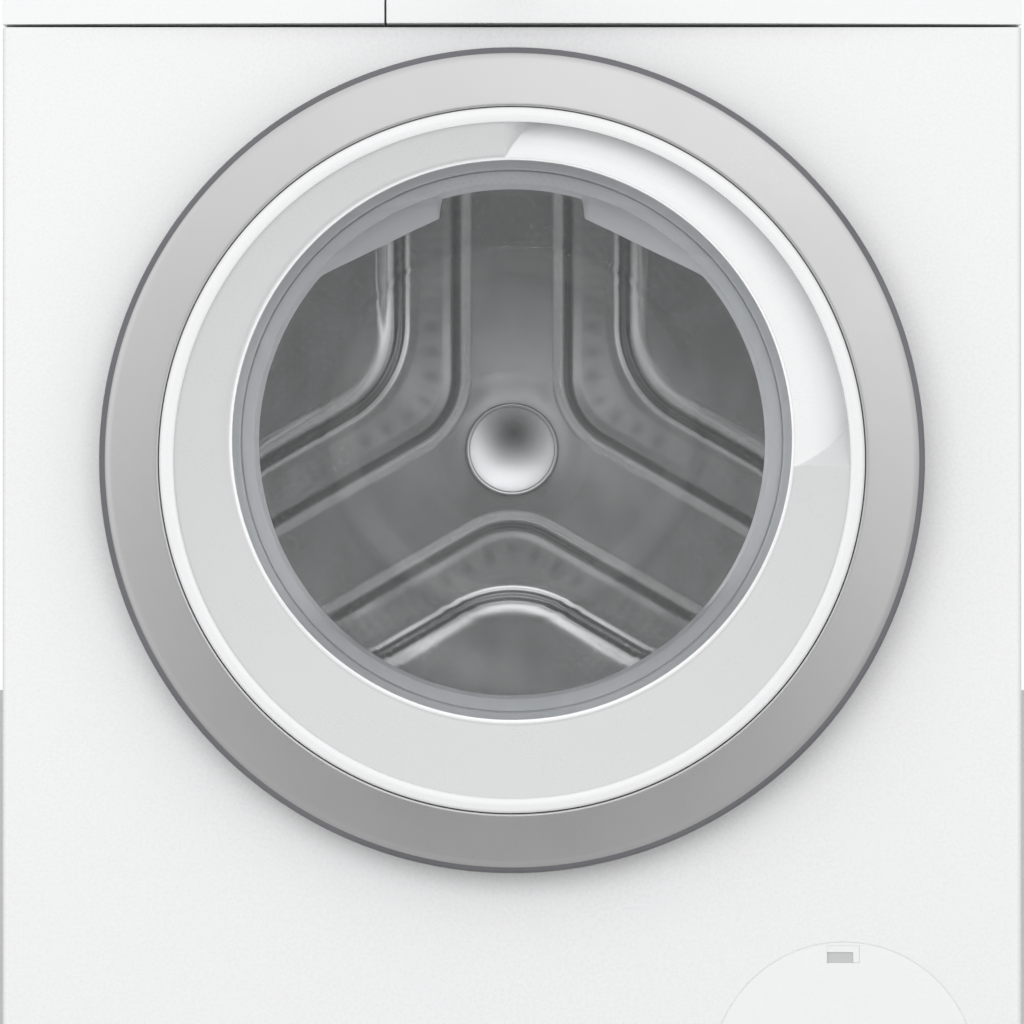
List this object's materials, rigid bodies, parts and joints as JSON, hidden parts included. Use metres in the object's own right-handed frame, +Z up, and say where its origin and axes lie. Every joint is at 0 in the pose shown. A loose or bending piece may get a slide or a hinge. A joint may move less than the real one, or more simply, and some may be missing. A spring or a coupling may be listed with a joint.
{
  "type": "front load washing machine",
  "caption": "White front loading washing machine with a large round glass door, steel drum, detergent drawer and service flap.",
  "frame": {"origin": "on the floor, under the middle of the whole machine", "axes": "+X to the right seen from the front, +Y from front to back, +Z up"},
  "size_m": [0.598, 0.632, 0.848],
  "materials": {
    "enamel_white": "gloss enamel",
    "worktop_white": "satin laminate",
    "galvanised": "galvanised sheet",
    "dark_plastic": "moulded plastic",
    "fascia_white": "gloss plastic",
    "display_black": "dark tinted plastic",
    "board_green": "circuit board",
    "knob_silver": "satin silver",
    "inner_plastic": "moulded plastic",
    "hose_rubber": "moulded rubber",
    "silver_plastic": "satin silver paint",
    "grey_plastic": "moulded plastic",
    "door_glass": "pressed clear glass",
    "zinc": "zinc plated",
    "steel": "bright steel",
    "gasket_rubber": "grey rubber",
    "tub_plastic": "filled polypropylene",
    "concrete": "cast concrete",
    "drum_steel": "polished stainless steel",
    "cast_aluminium": "cast",
    "hub_chrome": "polished",
    "motor_grey": "painted",
    "foot_grey": "moulded plastic"
  },
  "bodies": {
    "cabinet": {"front_panel": "enamel_white", "left_side_panel": "enamel_white", "right_side_panel": "enamel_white", "rear_panel": "galvanised", "worktop": "worktop_white", "base_tray": "dark_plastic", "top_braces": "galvanised", "control_panel": "fascia_white", "display_window": "display_black", "control_board": "board_green", "dispenser_housing": "inner_plastic", "inlet_valve": "inner_plastic", "inlet_hose": "hose_rubber", "dispenser_hose": "hose_rubber", "hinge_pin": "steel", "hinge_base": "zinc", "door_lock": "dark_plastic", "door_gasket": "gasket_rubber", "suspension_springs": "steel", "damper_cylinders": "dark_plastic", "pump_housing": "inner_plastic", "sump_hose": "hose_rubber", "rear_fittings": "grey_plastic"},
    "door": {"door_outer_ring": "silver_plastic", "door_front_frame": "fascia_white", "door_rear_frame": "grey_plastic", "door_glass": "door_glass", "hinge_leaf": "zinc"},
    "hook": {"door_hook": "grey_plastic"},
    "tub": {"tub_front": "tub_plastic", "tub_rear": "tub_plastic", "counterweights": "concrete", "shaft_seal": "hose_rubber", "bearings": "steel", "heating_element": "steel", "drive_belt": "hose_rubber", "motor_stator": "motor_grey", "damper_rods": "zinc"},
    "drum": {"drum_shell": "drum_steel", "drum_back": "drum_steel", "drum_paddles": "drum_steel", "drum_spider": "cast_aluminium", "drum_shaft": "steel", "hub_cap": "hub_chrome", "drum_pulley": "cast_aluminium"},
    "rotor": {"motor_rotor": "steel", "motor_pulley": "steel"},
    "drawer": {"drawer_front": "fascia_white", "drawer_tray": "inner_plastic"},
    "selector": {"selector_knob": "knob_silver"},
    "start": {"start_button": "fascia_white"},
    "option_1": {"option_button_1": "fascia_white"},
    "option_2": {"option_button_2": "fascia_white"},
    "flap": {"service_flap": "fascia_white"},
    "filter": {"filter_plug": "inner_plastic"},
    "impeller": {"pump_impeller": "dark_plastic"},
    "foot_fl": {"foot_front_left": "foot_grey"},
    "foot_fr": {"foot_front_right": "foot_grey"},
    "foot_rl": {"foot_rear_left": "foot_grey"},
    "foot_rr": {"foot_rear_right": "foot_grey"}
  },
  "joints": [
    {"name": "door_hinge", "type": "hinge", "parent": "cabinet", "child": "door", "pos_m": [-0.225, -0.296, 0.473], "axis": [0, 0, -1], "range_deg": [0, 165]},
    {"name": "hook_tilt", "type": "hinge", "parent": "door", "child": "hook", "pos_m": [0.196, -0.285, 0.44], "axis": [0, 0, 1], "range_deg": [0, 8], "stiffness_Nm_per_rad": 0.4},
    {"name": "tub_bounce", "type": "slide", "parent": "cabinet", "child": "tub", "axis": [0, 0, 1], "range_m": [-0.012, 0.008], "stiffness_N_per_m": 8000, "springref_m": 0.0418, "deforming": ["suspension_springs", "dispenser_hose", "sump_hose", "door_gasket"]},
    {"name": "drum_spin", "type": "hinge", "parent": "tub", "child": "drum", "pos_m": [0, 0, 0.485], "axis": [0, 1, 0], "continuous": true},
    {"name": "motor_spin", "type": "hinge", "parent": "tub", "child": "rotor", "pos_m": [0.07, 0, 0.138], "axis": [0, 1, 0], "continuous": true},
    {"name": "drawer_slide", "type": "slide", "parent": "cabinet", "child": "drawer", "axis": [0, -1, 0], "range_m": [0, 0.2]},
    {"name": "selector_turn", "type": "hinge", "parent": "cabinet", "child": "selector", "pos_m": [0, -0.294, 0.778], "axis": [0, 1, 0], "continuous": true},
    {"name": "start_press", "type": "slide", "parent": "cabinet", "child": "start", "axis": [0, 1, 0], "range_m": [0, 0.0015], "stiffness_N_per_m": 800},
    {"name": "option_1_press", "type": "slide", "parent": "cabinet", "child": "option_1", "axis": [0, 1, 0], "range_m": [0, 0.0015], "stiffness_N_per_m": 800},
    {"name": "option_2_press", "type": "slide", "parent": "cabinet", "child": "option_2", "axis": [0, 1, 0], "range_m": [0, 0.0015], "stiffness_N_per_m": 800},
    {"name": "flap_hinge", "type": "hinge", "parent": "cabinet", "child": "flap", "pos_m": [0.1947, -0.2725, 0.0448], "axis": [1, 0, 0], "range_deg": [0, 85]},
    {"name": "filter_turn", "type": "hinge", "parent": "cabinet", "child": "filter", "pos_m": [0.1947, -0.244, 0.1133], "axis": [0, -1, 0], "range_deg": [0, 90]},
    {"name": "impeller_spin", "type": "hinge", "parent": "cabinet", "child": "impeller", "pos_m": [0.1947, -0.15, 0.1133], "axis": [0, 1, 0], "continuous": true},
    {"name": "foot_fl_screw", "type": "slide", "parent": "cabinet", "child": "foot_fl", "axis": [0, 0, -1], "range_m": [0, 0.012]},
    {"name": "foot_fr_screw", "type": "slide", "parent": "cabinet", "child": "foot_fr", "axis": [0, 0, -1], "range_m": [0, 0.012]},
    {"name": "foot_rl_screw", "type": "slide", "parent": "cabinet", "child": "foot_rl", "axis": [0, 0, -1], "range_m": [0, 0.012]},
    {"name": "foot_rr_screw", "type": "slide", "parent": "cabinet", "child": "foot_rr", "axis": [0, 0, -1], "range_m": [0, 0.012]}
  ],
  "couplings": [
    {"joint": "motor_spin", "follows": "drum_spin", "ratio": 13.333}
  ]
}
